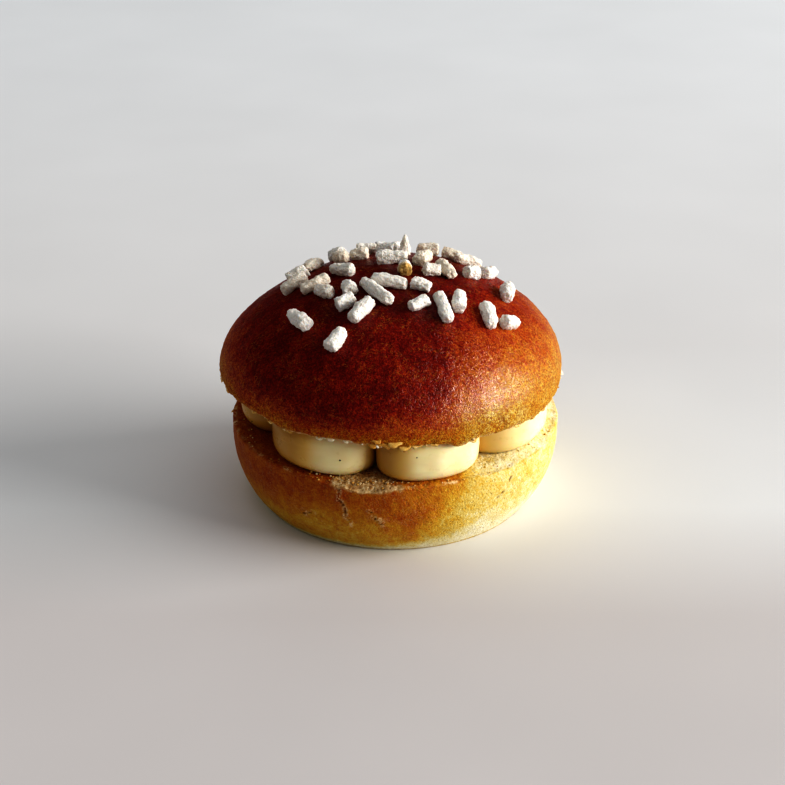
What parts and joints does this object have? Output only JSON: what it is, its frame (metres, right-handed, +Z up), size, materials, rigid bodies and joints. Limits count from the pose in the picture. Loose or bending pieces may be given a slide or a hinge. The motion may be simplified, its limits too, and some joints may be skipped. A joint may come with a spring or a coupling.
{
  "type": "tarte tropezienne",
  "caption": "Round brioche bun split in two, filled with a ring of piped cream mounds and topped with scattered pearl sugar.",
  "frame": {"origin": "centre of the flat base the cake stands on, under the middle of its overall box", "axes": "+Z up; -Y is the front, where two cream mounds meet under the lowest part of the upper crust; +X is to the right seen from the front"},
  "size_m": [0.0759, 0.0745, 0.0551],
  "materials": {
    "golden_brioche": "matte, baked golden crust paling towards the foot",
    "piped_cream": "smooth and slightly moist, pale yellow",
    "browned_crust": "egg-washed, dark brown on top to golden at the edge, with white sugar"
  },
  "bodies": {
    "root": {"lower_half": "golden_brioche", "cream_filling": "piped_cream", "upper_half": "browned_crust"}
  },
  "joints": []
}
